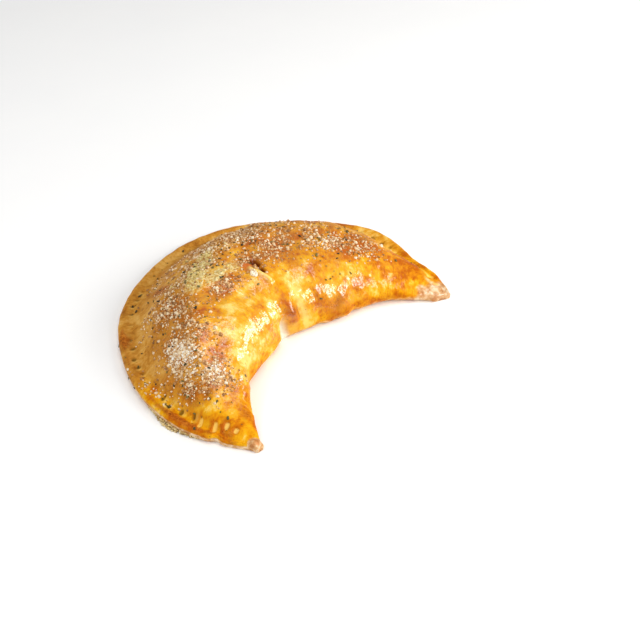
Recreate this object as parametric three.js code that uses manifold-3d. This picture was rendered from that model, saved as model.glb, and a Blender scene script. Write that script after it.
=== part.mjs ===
// A baked calzone: a stuffed half-moon of pizza dough bent into a crescent, with a pressed
// and fork-pricked rim, a torn steam vent, grated cheese, dried herbs and a fringe of cheese
// that baked on under the rim. One solid piece of food.
//
// Millimetres, +Z up, the flat base on z = 0. The two horns and the open bay point to -Y and
// the rim bulges to +Y; the origin is under the middle of the bounding box.

import * as THREE from 'three';
import { mergeVertices } from 'three/addons/utils/BufferGeometryUtils.js';
import Module from 'manifold-3d';

// ---- driving dimensions -------------------------------------------------------------------

const RIM_CENTRE = new THREE.Vector2(0, -27); // the rim is nearly a circle round this point
const RIM_RADIUS = 125;
const FOLD_CENTRE = new THREE.Vector2(-4, -147); // the fold, round the bay, is an arc too
const FOLD_RADIUS = 108.7;
const HORN_A_TURN = -91.5; // degrees along the spine where each horn ends
const HORN_B_TURN = 90.5;
const SLANT = { from: 60, angle: 3.6 }; // horn B is cut slantwise: its fold stops short

const CREST_HEIGHT = 45; // the stuffed middle
const HORN_HEIGHT = 4;
const HORN_SWELL = 2; // how slowly a horn swells towards the middle
const CREST_AT = 0.54; // share of the way from rim to fold
const SHOULDER = { across: 2.8, up: 0.52, steps: 8 }; // exponents of the fold's round shoulder
const BELLY_HEIGHT = 10; // the fold leans out furthest here, and tucks in below
const BELLY_SHARE = 0.4; // of a low horn's height
const TUCK = { inset: 5, turns: [45, 90] };

// The rim is two layers of dough pressed together. Its edge, from the floor up: inset from the
// edge, height, and how far the groove behind its rolled lip drops
const RIM_WIDTH = 10;
const RIM_EDGE = [
  [5, 0, 0], [0.8, 1.3, 0], [0, 2.8, 0], [0.8, 3.5, 0],
  [0.2, 4.6, 0], [1.5, 6.6, 0], [4, 7.0, 0], [7.5, 6.8, 0.5],
];
const RIM_HEIGHT = 6.4; // where the flank of the dome starts
// A slim horn has a slim rim: the width from which it is full, its least share, and the same
// for its height
const FULL_RIM = { from: 80, least: 0.3, highFrom: 40, leastHeight: 0.75 };
const FLANK = { steps: 8, start: 0.03, power: 1.7, hollow: [-0.35, 0.42], hollowWidth: [30, 110] };

// Where an edge wanders off its arc: angle round the arc's centre, spread and reach outwards
const RIM_WANDER = [
  { at: 212, spread: 12, out: -2.1 },
  { at: 199.5, spread: 1.7, out: -2.2 },
  { at: 188, spread: 12, out: 0.9 },
  { at: 150, spread: 16, out: -1.9 },
  { at: 105, spread: 20, out: -1.1 },
  { at: 45, spread: 24, out: -3.3 },
  { at: 11, spread: 10, out: 3.4 },
  { at: -12, spread: 9, out: -4.4 },
];
const FOLD_WANDER = [
  { at: 122, spread: 14, out: 4.5 },
  { at: 95, spread: 5.5, out: 3.1 },
  { at: 70, spread: 14, out: -8.8 },
  { at: 30, spread: 8, out: 2.8 },
];

// Upright creases in the fold, where the bent dough buckled
const CREASES = [
  { at: 121, spread: 3.0, depth: 1.2 },
  { at: 94.6, spread: 2.2, depth: 4.8 },
  { at: 86.2, spread: 1.7, depth: 3.4 },
  { at: 79.0, spread: 2.2, depth: 1.3 },
  { at: 63.0, spread: 2.4, depth: 1.8 },
];
const CREASE_FROM = [0.74, 0.93]; // they fade in over this share of the way to the fold
const CREASE_AT_FLOOR = 0.15; // their share at the floor
const CREASE_FULL = 9; // and the height from which they are full

// Lumps of the stuffing under the dough: waves over the plan, and where they show
const LUMP_WAVES = [
  { height: 0.4, x: 0.105, y: -0.125, phase: 1.07 },
  { height: 0.4, x: 0.105, y: 0.125, phase: 3.27 },
  { height: 0.7, x: 0.071, y: 0.114, phase: 2.0 },
  { height: 0.5, x: 0.173, y: -0.133, phase: 0.4 },
];
const LUMPS_FROM_RIM = [0.12, 0.3];
const LUMPS_TO_FOLD = [0.8, 0.97];
const LUMPS_WIDTH = [20, 90];

// Fork marks: a row of pricks round the rim, and long dents near the horns, by their angle
const PRICK = { pitch: 10.2, inset: 8, radius: 2.7, depth: 3.8, sides: 4, first: 189.6, last: -19 };
const PRICK_SWAY = { angle: 0.6, inset: 0.8 };
const TINE = { width: 3.2, depth: 1.6 };
const TINE_DENTS = [
  { at: 193.0, inset: 7.0, length: 7.0 },
  { at: 198.3, inset: 6.6, length: 8.0 },
  { at: 201.9, inset: 10.2, length: 7.5 },
  { at: 205.1, inset: 9.6, length: 6.5 },
  { at: -24.6, inset: 6.5, length: 8.0 },
  { at: -29.0, inset: 6.5, length: 8.0 },
];

// The steam vent: two torn slits, the thin lip beside them and the cheese that oozed out
const VENT_SLITS = [
  { x: -1.0, y: 5.6, turn: 96, length: 10.5, width: 4.6, height: 4.2 },
  { x: -2.9, y: -3.8, turn: 80, length: 7.5, width: 3.4, height: 3.6 },
];
const VENT_LIP = { x: -4.4, y: -3, turn: 72, length: 19, width: 4.2, height: 1.5 };
const VENT_CHEESE = { x: -9.7, y: -2.8, turn: 60, length: 6, width: 4.4, height: 1.8 };

const GRAINS = { cheese: 112, herb: 22, seed: 20, shares: [0.15, 0.9] };
const GRAIN = { low: 0.85, high: 1.4, narrow: 0.8, wide: 1.2, flat: 0.6, thick: 0.9 };
const FLAKE = { short: 1.1, long: 1.7, narrow: 0.6, wide: 0.9, thick: 0.55 };
const FRINGE = { crumbs: 10, from: 174, to: 192, inset: 0.7, low: 1.1, high: 1.9 };

// ---- plan of the crescent -----------------------------------------------------------------
// The spine runs midway between rim and fold. Points as far from one arc as from the other lie
// on an ellipse whose foci are the centres of the arcs.

const SPINE_MID = RIM_CENTRE.clone().add(FOLD_CENTRE).multiplyScalar(0.5);
const SPINE_UP = RIM_CENTRE.clone().sub(FOLD_CENTRE).normalize();
const SPINE_SIDE = new THREE.Vector2(SPINE_UP.y, -SPINE_UP.x);
const SPINE_LONG = (RIM_RADIUS + FOLD_RADIUS) / 2;
const SPINE_FOCUS = RIM_CENTRE.distanceTo(FOLD_CENTRE) / 2;
const SPINE_SHORT = Math.sqrt(SPINE_LONG ** 2 - SPINE_FOCUS ** 2);

const radians = THREE.MathUtils.degToRad;
const degrees = THREE.MathUtils.radToDeg;
const mix = THREE.MathUtils.lerp;
const clamp = THREE.MathUtils.clamp;
const ramp = THREE.MathUtils.smoothstep;
const bell = (value, centre, spread) => Math.exp(-(((value - centre) / spread) ** 2));

const LAST_ANGLE = 270; // angles round a centre run from -90 to here
const HALVINGS = 40; // of the search for a station
// The search for a place of the top: first steps, how they shrink, how many, and its bounds
const SEARCH = { turn: 0.4, share: 0.15, shrink: 1.6, steps: 60, bounds: [0.15, 0.95] };

function wander(list, angle) {
  return list.reduce((sum, bulge) => sum + bulge.out * bell(angle, bulge.at, bulge.spread), 0);
}

// The point of an arc in line with a point of the spine, or shifted some degrees round it
function foot(spine, centre, radius, list, shift = 0) {
  let angle = degrees(spine.clone().sub(centre).angle()) + shift;
  if (angle > LAST_ANGLE) angle -= 360;
  const turn = radians(angle);
  const point = new THREE.Vector2(Math.cos(turn), Math.sin(turn))
    .multiplyScalar(radius + wander(list, angle))
    .add(centre);
  return { point, angle };
}

function station(turn) {
  const spine = SPINE_MID.clone()
    .addScaledVector(SPINE_UP, SPINE_LONG * Math.cos(turn))
    .addScaledVector(SPINE_SIDE, SPINE_SHORT * Math.sin(turn));
  const halfWidth = RIM_RADIUS - spine.distanceTo(RIM_CENTRE);
  const slant = SLANT.angle * ramp(degrees(turn), SLANT.from, HORN_B_TURN);
  const rim = foot(spine, RIM_CENTRE, RIM_RADIUS, RIM_WANDER);
  const fold = foot(spine, FOLD_CENTRE, FOLD_RADIUS, FOLD_WANDER, slant);
  return { spine, halfWidth, rim, fold, width: 2 * halfWidth };
}

const WIDEST = station(0).halfWidth;

function crestHeight(halfWidth) {
  const share = 1 - clamp(halfWidth / WIDEST, 0, 1);
  return mix(HORN_HEIGHT, CREST_HEIGHT, (1 - share ** 2) ** HORN_SWELL);
}

// A place across the crescent, from the rim (0) through the spine (1/2) to the fold (1)
function across(at, share) {
  const { spine, rim, fold } = at;
  const bend = spine.clone().multiplyScalar(2)
    .addScaledVector(rim.point, -0.5)
    .addScaledVector(fold.point, -0.5);
  return rim.point.clone().multiplyScalar((1 - share) ** 2)
    .addScaledVector(bend, 2 * share * (1 - share))
    .addScaledVector(fold.point, share ** 2);
}

// ---- relief -------------------------------------------------------------------------------

function lumps(place, share, width) {
  const stuffed = ramp(share, ...LUMPS_FROM_RIM) * (1 - ramp(share, ...LUMPS_TO_FOLD))
    * ramp(width, ...LUMPS_WIDTH);
  return stuffed * LUMP_WAVES.reduce((sum, wave) => (
    sum + wave.height * Math.sin(place.x * wave.x + place.y * wave.y + wave.phase)
  ), 0);
}

// How far the creases pull the fold in, at an angle round the bay
function creaseDepth(angle) {
  return CREASES.reduce((sum, crease) => sum + crease.depth * bell(angle, crease.at, crease.spread), 0);
}

// ---- one ring round the crescent ----------------------------------------------------------
// Its outline runs over the top, from the floor up the rim's edge to the floor under the fold,
// as shares of the way across and heights

const rimSlimness = (width) => clamp(width / FULL_RIM.from, FULL_RIM.least, 1);
const rimLowness = (width) => clamp(width / FULL_RIM.highFrom, FULL_RIM.leastHeight, 1);
const hollowing = (width) => ramp(width, ...FLANK.hollowWidth);

function rimOutline(width) {
  return RIM_EDGE.map(([inset, rise, groove]) => ({
    share: (inset * rimSlimness(width)) / width,
    z: (rise - groove * hollowing(width)) * rimLowness(width),
  }));
}

// The flank climbs from the rim in an arc, with a soft hollow at its foot on the wide middle
function flankOutline(width, height) {
  const from = { share: (RIM_WIDTH * rimSlimness(width)) / width, z: RIM_HEIGHT * rimLowness(width) };
  return Array.from({ length: FLANK.steps + 1 }, (_, i) => {
    const along = mix(FLANK.start, 1, i / FLANK.steps);
    const arc = 1 - (1 - along) ** FLANK.power;
    const climb = arc * mix(1, ramp(along, ...FLANK.hollow), hollowing(width));
    return { share: mix(from.share, CREST_AT, along), z: mix(from.z, height, climb) };
  });
}

function foldOutline(width, height) {
  const belly = Math.min(BELLY_HEIGHT, BELLY_SHARE * height);
  const shoulder = Array.from({ length: SHOULDER.steps }, (_, i) => {
    const turn = ((i + 1) / SHOULDER.steps) * (Math.PI / 2);
    const out = Math.sin(turn) ** (2 / SHOULDER.across);
    const rise = Math.max(Math.cos(turn), 0) ** (2 * SHOULDER.up);
    return { share: mix(CREST_AT, 1, out), z: mix(belly, height, rise) };
  });
  const inset = Math.min(TUCK.inset / width, 0.25);
  const tuck = TUCK.turns.map(radians).map((turn) => (
    { share: 1 - inset * (1 - Math.cos(turn)), z: Math.max(belly * (1 - Math.sin(turn)), 0) }
  ));
  return [...shoulder, ...tuck];
}

function ringOutline(at) {
  const height = crestHeight(at.halfWidth);
  return [...rimOutline(at.width), ...flankOutline(at.width, height), ...foldOutline(at.width, height)];
}

const ON_FLOOR = 1e-6;

// The outline's points in space, with the creases and lumps
function ring(turn) {
  const at = station(turn);
  const crease = creaseDepth(at.fold.angle) / at.width;
  const points = ringOutline(at).map(({ share, z }) => {
    const upright = mix(CREASE_AT_FLOOR, 1, ramp(z, 0, CREASE_FULL));
    const pull = crease * ramp(share, ...CREASE_FROM) * upright;
    const place = across(at, share - pull);
    const lift = z > ON_FLOOR ? lumps(place, share, at.width) : 0;
    return new THREE.Vector3(place.x, place.y, z + lift);
  });
  return [...points, new THREE.Vector3(at.spine.x, at.spine.y, 0)];
}

function ringMiddle(points) {
  const middle = new THREE.Vector3();
  points.forEach((point) => middle.add(point));
  return middle.divideScalar(points.length).setZ(0);
}

// A horn's end: copies of its last ring, moved on and drawn in: [on, share of width, of height]
function hornEnd(last, before, steps) {
  const middle = ringMiddle(last);
  const onward = middle.clone().sub(ringMiddle(before)).normalize();
  return steps.map(([on, wide, high]) => last.map((point) => (
    point.clone().sub(middle)
      .multiply(new THREE.Vector3(wide, wide, high))
      .add(middle)
      .addScaledVector(onward, on)
  )));
}

const HORN_A_END = [ // a nub of folded dough
  [0.8, 0.9, 1.1], [1.8, 0.76, 1.2], [3.6, 0.66, 1.2], [5.2, 0.6, 1.1], [6.3, 0.48, 0.9], [6.9, 0.28, 0.5],
];
const HORN_B_END = [ // cut square
  [0.7, 0.97, 0.96], [1.3, 0.9, 0.84], [1.6, 0.7, 0.6],
];
const RINGS = 80;
const RINGS_CLOSE_UP = 0.4; // the rings stand closer in the middle, where the creases are

function crust() {
  const turns = Array.from({ length: RINGS }, (_, i) => {
    const even = i / (RINGS - 1);
    const closed = even + (RINGS_CLOSE_UP * Math.sin(2 * Math.PI * even)) / (2 * Math.PI);
    return radians(mix(HORN_A_TURN, HORN_B_TURN, closed));
  });
  const rings = turns.map(ring);
  const startCap = hornEnd(rings[0], rings[1], HORN_A_END).reverse();
  const endCap = hornEnd(rings.at(-1), rings.at(-2), HORN_B_END);
  return closedTube([...startCap, ...rings, ...endCap]);
}

// Rings of points joined into one closed skin, each end shut by a fan of triangles
function closedTube(rings) {
  const size = rings[0].length;
  const points = rings.flat();
  const faces = [];
  for (let i = 0; i + 1 < rings.length; i += 1) {
    for (let k = 0; k < size; k += 1) {
      const a = i * size + k;
      const b = i * size + ((k + 1) % size);
      faces.push(a, b, a + size, b, b + size, a + size);
    }
  }
  for (const end of [0, rings.length - 1]) {
    const hub = points.length;
    const top = Math.max(...rings[end].map((point) => point.z));
    points.push(ringMiddle(rings[end]).setZ(top / 2));
    for (let k = 0; k < size; k += 1) {
      const a = end * size + k;
      const b = end * size + ((k + 1) % size);
      faces.push(...(end === 0 ? [hub, b, a] : [hub, a, b]));
    }
  }
  const geometry = new THREE.BufferGeometry();
  const numbers = points.flatMap((point) => point.toArray());
  geometry.setAttribute('position', new THREE.Float32BufferAttribute(numbers, 3));
  geometry.setIndex(faces);
  return geometry;
}

// ---- solids -------------------------------------------------------------------------------

const wasm = await Module();
wasm.setup();

function solid(geometry) {
  const bare = geometry.clone();
  bare.deleteAttribute('normal');
  bare.deleteAttribute('uv');
  const merged = mergeVertices(bare);
  return new wasm.Manifold(new wasm.Mesh({
    numProp: 3,
    vertProperties: Float32Array.from(merged.attributes.position.array),
    triVerts: Uint32Array.from(merged.index.array),
  }));
}

function geometryOf(manifold) {
  const { vertProperties, triVerts } = manifold.getMesh();
  const geometry = new THREE.BufferGeometry();
  geometry.setAttribute('position', new THREE.BufferAttribute(vertProperties, 3));
  geometry.setIndex(Array.from(triVerts));
  return geometry;
}

// ---- places on the crust ------------------------------------------------------------------

// The top at a station and a share of the way across
function topAt(turn, share) {
  const at = station(turn);
  const outline = ringOutline(at).filter((point) => point.z >= RIM_HEIGHT / 2);
  const i = Math.max(outline.findIndex((point) => point.share > share), 1);
  const [low, high] = [outline[i - 1], outline[i]];
  const z = mix(low.z, high.z, (share - low.share) / (high.share - low.share));
  const place = across(at, share);
  return new THREE.Vector3(place.x, place.y, z + lumps(place, share, at.width));
}

function normalAt(turn, share) {
  const step = 0.01;
  const along = topAt(turn + step, share).sub(topAt(turn - step, share));
  const over = topAt(turn, share + step).sub(topAt(turn, share - step));
  return over.cross(along).normalize();
}

// The spine's turn whose rim foot lies at an angle round the rim, found by halving
function turnAtRim(angle) {
  let [low, high] = [radians(HORN_A_TURN), radians(HORN_B_TURN)];
  for (let i = 0; i < HALVINGS; i += 1) {
    const middle = (low + high) / 2;
    if (station(middle).rim.angle > angle) low = middle;
    else high = middle;
  }
  return (low + high) / 2;
}

// The place of the top over a point of the plan, found by ever smaller steps
function topOver(x, y) {
  let [turn, share] = [0, 0.5];
  let [turnStep, shareStep] = [SEARCH.turn, SEARCH.share];
  const gap = (t, s) => Math.hypot(topAt(t, s).x - x, topAt(t, s).y - y);
  for (let i = 0; i < SEARCH.steps; i += 1) {
    const best = [[turnStep, 0], [-turnStep, 0], [0, shareStep], [0, -shareStep]]
      .map(([dt, ds]) => [turn + dt, clamp(share + ds, ...SEARCH.bounds)])
      .reduce((a, b) => (gap(...a) < gap(...b) ? a : b));
    if (gap(...best) < gap(turn, share)) [turn, share] = best;
    else [turnStep, shareStep] = [turnStep / SEARCH.shrink, shareStep / SEARCH.shrink];
  }
  return { place: topAt(turn, share), normal: normalAt(turn, share) };
}

function onRim(angle, inset) {
  const turn = turnAtRim(angle);
  const share = inset / station(turn).width;
  return { place: topAt(turn, share), normal: normalAt(turn, share) };
}

// A shape laid on the crust: its own +Z along the surface's normal, turned about it
function laid(geometry, place, normal, spin) {
  const upwards = new THREE.Vector3(0, 0, 1);
  const upright = new THREE.Quaternion().setFromUnitVectors(upwards, normal);
  const turned = new THREE.Quaternion().setFromAxisAngle(upwards, spin);
  const lay = new THREE.Matrix4().compose(place, upright.multiply(turned), new THREE.Vector3(1, 1, 1));
  return geometry.clone().applyMatrix4(lay);
}

// ---- fork marks and vent ------------------------------------------------------------------

function prickPits() {
  const pit = new THREE.ConeGeometry(PRICK.radius, PRICK.depth, PRICK.sides);
  pit.rotateX(-Math.PI / 2);
  const step = degrees(PRICK.pitch / RIM_RADIUS);
  const pits = [];
  for (let angle = PRICK.first; angle > PRICK.last; angle -= step) {
    const sway = Math.sin(1.7 * angle);
    const inset = PRICK.inset + PRICK_SWAY.inset * Math.sin(0.9 * angle);
    const { place, normal } = onRim(angle + PRICK_SWAY.angle * sway, inset);
    pits.push(laid(pit, place, normal, sway));
  }
  return pits;
}

function tineDents() {
  return TINE_DENTS.map(({ at, inset, length }) => {
    const dent = new THREE.SphereGeometry(1, 7, 4);
    dent.scale(length / 2, TINE.width / 2, TINE.depth);
    const { place, normal } = onRim(at, inset);
    return laid(dent, place, normal, radians(at));
  });
}

// A flat egg on the crust, for the vent's slit, lip and cheese alike
function egg({ x, y, turn, length, width, height }) {
  const shape = new THREE.SphereGeometry(1, 8, 5);
  shape.rotateX(Math.PI / 2).scale(length / 2, width / 2, height);
  const { place, normal } = topOver(x, y);
  return laid(shape, place, normal, radians(turn));
}

// ---- grated cheese, herbs and the fringe --------------------------------------------------

function seededRandom(seed) {
  let state = seed;
  return () => {
    state = (state + 0x6d2b79f5) | 0;
    let mixed = Math.imul(state ^ (state >>> 15), 1 | state);
    mixed = (mixed + Math.imul(mixed ^ (mixed >>> 7), 61 | mixed)) ^ mixed;
    return ((mixed ^ (mixed >>> 14)) >>> 0) / 2 ** 32;
  };
}

// The sprinkled band keeps to the crest, a little to the rim's side on horn A's arm and to the
// fold's side on horn B's arm; the cheese lies thickest in a few heaps
const BAND = { from: 0.4, to: 0.66, spread: 0.17, fadeIn: [0.05, 0.14], fadeOut: [0.84, 0.95] };
const HEAPS = [
  { x: -89, y: -14, spread: 13 },
  { x: -88, y: -42, spread: 10 },
  { x: -33, y: 26, spread: 17 },
];
const BETWEEN_HEAPS = 0.45;
const GRAIN_GAP = 3.2; // between the middles of two grains, so that none seals a hollow

function sprinkled(place, share, along) {
  const band = bell(share, mix(BAND.from, BAND.to, along), BAND.spread)
    * ramp(along, ...BAND.fadeIn) * (1 - ramp(along, ...BAND.fadeOut));
  const heaped = HEAPS.map((heap) => (
    bell(Math.hypot(place.x - heap.x, place.y - heap.y), 0, heap.spread)
  ));
  return band * mix(BETWEEN_HEAPS, 1, Math.max(...heaped));
}

function scatter(count, random, shape) {
  const grains = [];
  const middles = [];
  while (grains.length < count) {
    const along = random();
    const share = mix(...GRAINS.shares, random());
    const turn = radians(mix(HORN_A_TURN, HORN_B_TURN, along));
    const place = topAt(turn, share);
    const wanted = sprinkled(place, share, along) * (station(turn).halfWidth / WIDEST);
    const free = middles.every((middle) => middle.distanceTo(place) > GRAIN_GAP);
    if (free && random() < wanted) {
      middles.push(place);
      grains.push(laid(shape(random), place, normalAt(turn, share), random() * 2 * Math.PI));
    }
  }
  return grains;
}

function cheeseGrain(random) {
  const { low, high, narrow, wide, flat, thick } = GRAIN;
  const grain = new THREE.IcosahedronGeometry(mix(low, high, random()), 0);
  grain.scale(mix(narrow, wide, random()), mix(narrow, wide, random()), mix(flat, thick, random()));
  return grain.rotateX(random() * Math.PI);
}

function herbFlake(random) {
  const { short, long, narrow, wide, thick } = FLAKE;
  const flake = new THREE.OctahedronGeometry(1, 0);
  return flake.scale(mix(short, long, random()), mix(narrow, wide, random()), thick);
}

// Crumbs of cheese baked on along the foot of the rim
function fringeCrumbs(random) {
  return Array.from({ length: FRINGE.crumbs }, (_, i) => {
    const angle = mix(FRINGE.from, FRINGE.to, (i + 0.3 * random()) / FRINGE.crumbs);
    const { rim } = station(turnAtRim(angle));
    const inwards = RIM_CENTRE.clone().sub(rim.point).setLength(FRINGE.inset);
    const place = rim.point.clone().add(inwards);
    const size = mix(FRINGE.low, FRINGE.high, random());
    const crumb = new THREE.IcosahedronGeometry(size, 0);
    return crumb.rotateZ(random() * Math.PI).translate(place.x, place.y, size);
  });
}

// ---- the calzone --------------------------------------------------------------------------

// The largest piece alone, so that no loose scrap is left by a cut
function wholePiece(manifold) {
  return manifold.decompose().reduce((a, b) => (a.volume() > b.volume() ? a : b));
}

function calzone() {
  const random = seededRandom(GRAINS.seed);
  const added = [egg(VENT_LIP), egg(VENT_CHEESE)];
  const cut = [...VENT_SLITS.map(egg), ...prickPits(), ...tineDents()];
  const toppings = [
    ...scatter(GRAINS.cheese, random, cheeseGrain),
    ...scatter(GRAINS.herb, random, herbFlake),
    ...fringeCrumbs(random),
  ];
  let body = solid(crust());
  for (const piece of added) body = body.add(solid(piece));
  for (const piece of cut) body = body.subtract(solid(piece));
  for (const piece of toppings) body = body.add(solid(piece));
  const geometry = geometryOf(wholePiece(body));
  geometry.computeBoundingBox();
  const { min, max } = geometry.boundingBox;
  geometry.translate(-(min.x + max.x) / 2, -(min.y + max.y) / 2, -min.z);
  const material = new THREE.MeshStandardMaterial({ color: 0xd8953a, roughness: 0.5, metalness: 0 });
  const mesh = new THREE.Mesh(geometry, material);
  mesh.name = 'calzone';
  return mesh;
}

const group = new THREE.Group();
group.add(calzone());

export default group;
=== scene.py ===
"""A baked calzone: golden crust with a fork-pricked rim, grated cheese, herbs and a torn vent.

The crust is worked out on a grid: one way along the crescent, the other way round its section.
Lengths are in millimetres until a mesh is made. The plan is laid out round the arcs of the rim
and the fold, and moved at the end to the middle of the bounding box.
"""

import math
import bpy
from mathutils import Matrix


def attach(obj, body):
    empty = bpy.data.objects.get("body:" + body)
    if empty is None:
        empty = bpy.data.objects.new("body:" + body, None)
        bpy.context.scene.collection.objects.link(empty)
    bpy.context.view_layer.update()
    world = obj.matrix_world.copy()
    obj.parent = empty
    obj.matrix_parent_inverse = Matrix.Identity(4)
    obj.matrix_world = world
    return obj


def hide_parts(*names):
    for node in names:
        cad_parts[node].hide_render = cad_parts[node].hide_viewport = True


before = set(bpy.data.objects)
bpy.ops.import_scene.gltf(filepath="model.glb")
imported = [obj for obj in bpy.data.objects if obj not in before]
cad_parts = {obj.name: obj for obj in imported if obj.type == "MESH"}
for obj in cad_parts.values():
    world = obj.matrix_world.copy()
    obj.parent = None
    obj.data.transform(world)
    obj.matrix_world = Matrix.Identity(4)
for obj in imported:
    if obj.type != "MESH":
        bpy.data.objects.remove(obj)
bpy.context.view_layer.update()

from types import SimpleNamespace as Record

import bmesh
import bpy
import numpy as np
from mathutils import Euler, Vector

MM = 0.001

# ---- driving dimensions ----

MIDDLE = np.array([0.10, 0.41, 0])  # of the bounding box, in the layout's own axes

RIM_CENTRE = np.array([0, -27])
RIM_RADIUS = 125
FOLD_CENTRE = np.array([-4, -147])
FOLD_RADIUS = 108.7
HORN_A_TURN, HORN_B_TURN = -91.5, 90.5  # degrees along the spine
SLANT = Record(start=60, angle=3.6)  # horn B is cut slantwise

CREST_HEIGHT, HORN_HEIGHT, HORN_SWELL = 45, 4, 2
CREST_AT = 0.54  # share of the way from the rim to the fold
SHOULDER = Record(across=2.8, up=0.52, crowding=1.4)  # exponents of its curve
BELLY_HEIGHT, BELLY_SHARE = 10, 0.4  # the fold's furthest reach, and its share of a low horn
TUCK_INSET, TUCK_SHARE = 5, 0.25  # in under the belly, and at most this share of the width

RIM_WIDTH, RIM_HEIGHT, RIM_LIP = 10, 6.4, 7
EDGE = Record(depth=4.6, square=0.6)  # the edge's rounding
SEAM = Record(height=3.5, spread=0.5, depth=0.7)  # where the two layers meet
GROOVE = Record(inset=7.5, spread=1.8, depth=0.3)  # behind the rolled lip
FULL_RIM, SLIM_RIM = 80, 0.3  # the rim narrows below this width, down to this share
FULL_RIM_HEIGHT, LOW_RIM = 40, 0.75  # and it gets lower below this one
FLANK_POWER, HOLLOW, HOLLOW_WIDTH = 1.7, (-0.35, 0.42), (30, 110)

# Bulges of an edge off its arc: angle round the arc's centre, spread, reach outwards
RIM_WANDER = (
    (212, 12, -2.1), (199.5, 1.7, -2.2), (188, 12, 0.9), (150, 16, -1.9),
    (105, 20, -1.1), (45, 24, -3.3), (11, 10, 3.4), (-12, 9, -4.4),
)
FOLD_WANDER = ((122, 14, 4.5), (95, 5.5, 3.1), (70, 14, -8.8), (30, 8, 2.8))
# Pleats of the fold: angle round the bay, spread towards horn A and towards horn B, depth, the
# height from which it is full, and the heights between which it dies out again. A negative
# depth is a bulge.
PLEATS = (
    (121, 3, 3, 1.2, 0, 26, 40),
    (94.6, 2.4, 1.9, 5, 9, 14, 24),
    (90.6, 2.6, 2, -2.4, 16, 26, 38),
    (87, 0.8, 2.8, 2.8, 15, 22, 38),
    (79, 2.2, 2.2, 1.1, 0, 24, 36),
    (72, 1.6, 2.6, 0.8, 0, 20, 36),
    (63, 2.4, 2.4, 1.6, 0, 18, 32),
)
PLEAT_FADE = 8  # below the height from which a pleat is full
PLEAT_FROM = (0.66, 0.86)  # share of the way across
FLAP = Record(angle=90.8, spread=3, low=13, high=18, overhang=1.4)

# Lumps of the stuffing: height, wave along x and y, phase
LUMP_WAVES = (
    (0.4, 0.105, -0.125, 1.07), (0.4, 0.105, 0.125, 3.27),
    (0.7, 0.071, 0.114, 2), (0.5, 0.173, -0.133, 0.4),
)
LUMPS_FROM_RIM, LUMPS_TO_FOLD, LUMPS_WIDTH = (0.12, 0.3), (0.8, 0.97), (20, 90)

# Fork pricks; the waves are those of sines that stand in for chance in angle, inset and depth
PRICK = Record(
    pitch=10.2, inset=8, radius=1.9, depth=2, first=189.6, last=-19,
    sway_angle=0.6, sway_inset=0.8, unevenness=0.3, waves=(1.7, 0.9, 2.9),
)
FAINT_PRICKS = ((65, 65, 0.7),)  # at an angle, its spread, and how faint
# Dents of the tines near the horns: angle round the rim, inset, length, strength
TINE_DENTS = (
    (193, 7, 7, 1), (198.3, 6.6, 8, 1), (201.9, 10.2, 7.5, 1),
    (205.1, 9.6, 6.5, 1), (-24.6, 6.5, 8, 0.5), (-29, 6.5, 8, 0.5),
)
# A dent's lit floor, a painted highlight, and its darker border, painted shade: shift as a
# share of the width, and size
TINE = Record(width=4.2, depth=1.5, floor=(0.12, 0.8), border=(-0.3, 1.7))
MARKS_FROM = RIM_HEIGHT * LOW_RIM * 0.8  # pricks and dents lie above this height

# The vent's two torn slits: middle, turn, length and width
SLITS = (
    Record(x=-0.6, y=5.8, turn=96, length=12, width=7),
    Record(x=-2.6, y=-4, turn=80, length=8, width=4.4),
)
SLIT_DEPTH = 4.2
TEAR = Record(raggedness=0.5, cell=2.2, shift=5, slope=0.35)  # the slits' edge
STRAND = Record(x=-6, y=-5.6, turn=101, length=23, spread=1.6, height=1.8)
SCORCH = Record(x=-6.9, y=6.6, radius=1.7, spread=2.04, height=0.8)
VENT_HEIGHTS = (27, 36)  # its marks fade in between these

# Where the skin is smoother: x, y, spread along x and y, strength
SMOOTH_SPOTS = ((38, -47, 18, 12, 0.85),)

# The grid: rings along the crescent, and the steps round each
RINGS = 500
EDGE_STEPS, LIP_STEPS, FLANK_STEPS, SHOULDER_STEPS, TUCK_STEPS, FLOOR_STEPS = 24, 10, 62, 62, 8, 5

# A horn's end as it moves on: how far on, and shares of the width and the height
HORN_A_END = np.array([
    (0, 1, 1), (0.8, 0.94, 1.1), (1.8, 0.86, 1.2), (3.6, 0.78, 1.2),
    (5.2, 0.68, 1.1), (6.2, 0.52, 0.9), (6.8, 0.3, 0.5),
])
HORN_B_END = np.array([(0, 1, 1), (0.7, 0.97, 0.96), (1.3, 0.9, 0.84), (1.6, 0.7, 0.6)])
HORN_STEPS = 14

# Grains of cheese: name, count, least and most size, fineness of the ball, lift off the crust
CHEESE_GRAINS = (
    ("cheese_granules", 3800, 0.4, 0.9, 1, -0.2),
    ("cheese_crumbs", 1400, 0.65, 1.3, 2, -0.35),
    ("melted_crumbs", 280, 0.6, 1.5, 2, -0.7),
)
GRAIN_ROUGHNESS, STRETCH = 0.32, (0.7, 1.3)
# Cheese at the vent, baked on under the rim, and flakes of herb
BLOB = Record(
    x=-9.9, y=-2.2, turn=75, length=6.6, width=4.4, above=31.5, count=70, size=(0.45, 0.95),
    stretch=np.array([1.2, 1, 0.9]), heap=(-0.2, 0.7), roughness=0.1,
)
FRINGE = Record(
    count=460, start=172, end=194, spread=7, out=(-1.2, 2.7), size=(0.25, 0.85),
    climb=1.6, under=0.8,
)
FLAKES = Record(
    count=430, length=(0.6, 1.7), width=(0.4, 0.75), thickness=(0.15, 0.28), tilt=0.22,
    lift=0.45, roughness=0.25, in_pricks=1.5,
)

# ---- arithmetic on arrays ----


def clamp(value):
    """A value kept between 0 and 1."""
    return np.clip(value, 0, 1)


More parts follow.
